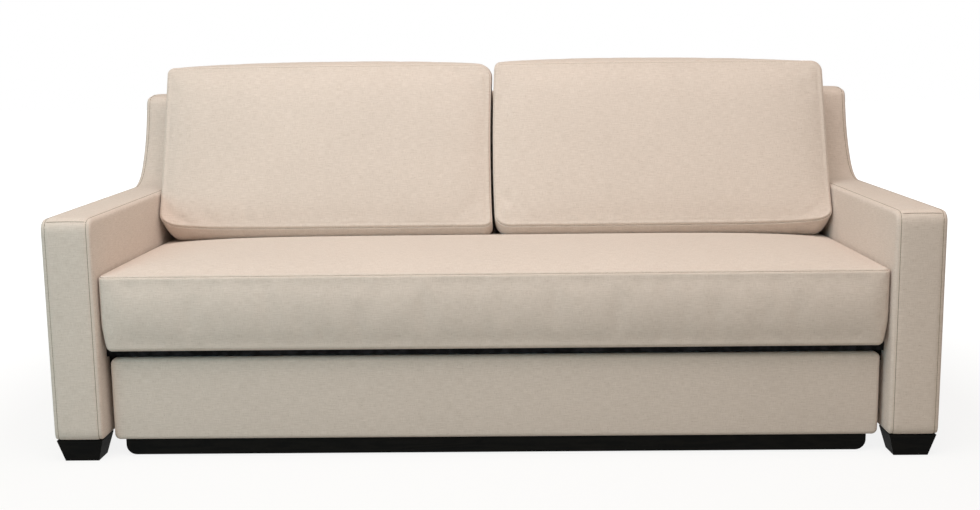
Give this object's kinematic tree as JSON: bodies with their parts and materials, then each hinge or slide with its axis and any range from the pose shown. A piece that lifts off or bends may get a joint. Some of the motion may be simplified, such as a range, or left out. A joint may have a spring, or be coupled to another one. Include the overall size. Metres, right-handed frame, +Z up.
{
  "type": "sleeper sofa",
  "caption": "Upholstered sleeper sofa with swept track arms, loose cushions, black block legs and a low bed that rolls out from under the seat.",
  "frame": {"origin": "on the floor, in the middle of the sofa's footprint with the bed pushed in", "axes": "+X to the sitter's left as seen from the front (the picture's right), along the sofa's length; -Y towards the front, where the bed rolls out; +Z up"},
  "size_m": [2.134, 0.98, 0.9486],
  "materials": {
    "linen": "beige slub linen weave",
    "foam": "cut foam",
    "zip_tape": "woven tape",
    "ticking": "quilted white ticking",
    "pine": "planed softwood",
    "birch_slats": "clear birch plywood",
    "black_timber": "satin black stain",
    "black_steel": "satin black powder coat",
    "zinc_steel": "zinc plated",
    "bright_steel": "bright",
    "black_cloth": "thin black cloth",
    "webbing": "woven elastic",
    "black_plastic": "matte",
    "stop_plastic": "matte",
    "grey_wheel": "moulded nylon"
  },
  "bodies": {
    "sofa": {"arm_cover_left": "linen", "arm_cover_right": "linen", "arm_frame_left": "pine", "arm_frame_right": "pine", "back_bolts": "bright_steel", "back_cover": "linen", "back_frame": "pine", "back_webbing": "webbing", "deck_cloth": "black_cloth", "deck_ledge_left": "black_timber", "deck_ledge_right": "black_timber", "deck_screws": "bright_steel", "deck_slat_holders": "black_plastic", "deck_slats": "birch_slats", "deck_tube_centre": "black_steel", "deck_tube_front": "black_steel", "deck_tube_left": "black_steel", "deck_tube_rear": "black_steel", "deck_tube_right": "black_steel", "guide_rail_left": "black_plastic", "guide_rail_right": "black_plastic", "ledge_screws": "bright_steel", "leg_bolts": "bright_steel", "leg_front_left": "black_timber", "leg_front_right": "black_timber", "leg_rear_left": "black_timber", "leg_rear_right": "black_timber", "stop_blocks": "stop_plastic"},
    "seat_cushion": {"seat_cushion_cover": "linen", "seat_cushion_foam": "foam", "seat_cushion_zip": "zip_tape"},
    "back_cushion_left": {"back_cushion_left_cover": "linen", "back_cushion_left_foam": "foam", "back_cushion_left_zip": "zip_tape"},
    "back_cushion_right": {"back_cushion_right_cover": "linen", "back_cushion_right_foam": "foam", "back_cushion_right_zip": "zip_tape"},
    "bed": {"front_panel_cover": "linen", "front_panel_board": "pine", "base_plinth": "black_timber", "bed_rail_front": "pine", "bed_rail_rear": "pine", "bed_rail_left": "pine", "bed_rail_right": "pine", "bed_slat_ledges": "pine", "bed_centre_beam": "pine", "bed_slats": "birch_slats", "corner_blocks": "pine", "stop_catches": "stop_plastic", "mattress_cover": "ticking", "mattress_foam": "foam", "caster_brackets": "zinc_steel", "caster_axles": "bright_steel", "caster_screws": "bright_steel", "rail_screws": "bright_steel", "panel_bolts": "bright_steel"},
    "wheel_front_left": {"wheel_front_left": "grey_wheel"},
    "wheel_front_right": {"wheel_front_right": "grey_wheel"},
    "wheel_rear_left": {"wheel_rear_left": "grey_wheel"},
    "wheel_rear_right": {"wheel_rear_right": "grey_wheel"}
  },
  "joints": [
    {"name": "bed_slide", "type": "slide", "parent": "sofa", "child": "bed", "axis": [0, -1, 0], "range_m": [0, 0.8145]},
    {"name": "seat_lift", "type": "slide", "parent": "sofa", "child": "seat_cushion", "axis": [0, 0, 1], "range_m": [0, 0.64]},
    {"name": "back_left_lift", "type": "slide", "parent": "seat_cushion", "child": "back_cushion_left", "axis": [0, 0, 1], "range_m": [0, 0.44]},
    {"name": "back_right_lift", "type": "slide", "parent": "seat_cushion", "child": "back_cushion_right", "axis": [0, 0, 1], "range_m": [0, 0.44]},
    {"name": "wheel_front_left_turn", "type": "hinge", "parent": "bed", "child": "wheel_front_left", "pos_m": [-0.9202, -0.329, 0.025], "axis": [1, 0, 0], "range_deg": [-5, 1890]},
    {"name": "wheel_front_right_turn", "type": "hinge", "parent": "bed", "child": "wheel_front_right", "pos_m": [0.9202, -0.329, 0.025], "axis": [1, 0, 0], "range_deg": [-5, 1890]},
    {"name": "wheel_rear_left_turn", "type": "hinge", "parent": "bed", "child": "wheel_rear_left", "pos_m": [-0.9202, 0.341, 0.025], "axis": [1, 0, 0], "range_deg": [-5, 1890]},
    {"name": "wheel_rear_right_turn", "type": "hinge", "parent": "bed", "child": "wheel_rear_right", "pos_m": [0.9202, 0.341, 0.025], "axis": [1, 0, 0], "range_deg": [-5, 1890]}
  ],
  "couplings": [
    {"joint": "wheel_front_left_turn", "follows": "bed_slide", "rad_per_m": 40},
    {"joint": "wheel_front_right_turn", "follows": "bed_slide", "rad_per_m": 40},
    {"joint": "wheel_rear_left_turn", "follows": "bed_slide", "rad_per_m": 40},
    {"joint": "wheel_rear_right_turn", "follows": "bed_slide", "rad_per_m": 40}
  ]
}
